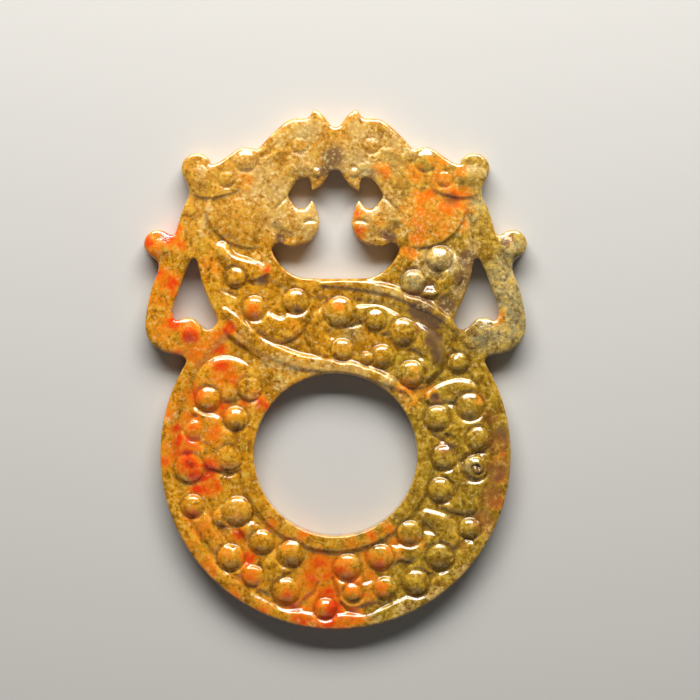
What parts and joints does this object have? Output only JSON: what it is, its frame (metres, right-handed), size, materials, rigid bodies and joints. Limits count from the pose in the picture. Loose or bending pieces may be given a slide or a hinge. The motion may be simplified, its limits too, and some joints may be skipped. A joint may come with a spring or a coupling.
{
  "type": "openwork jade bi disc",
  "caption": "Flat carved jade ring with a round hole, topped by two facing dragons whose crossing necks make a figure of eight; openwork between necks and limbs.",
  "frame": {"origin": "centre of the flat back, on the surface the disc lies on", "axes": "+Z out of the carved front; +Y from the ring towards the dragons' heads; +X to the viewer's right"},
  "size_m": [0.111, 0.1512, 0.0079],
  "materials": {
    "jade": "polished jade, mottled honey and olive with orange-red stains"
  },
  "bodies": {
    "root": {"jade_disc": "jade"}
  },
  "joints": []
}
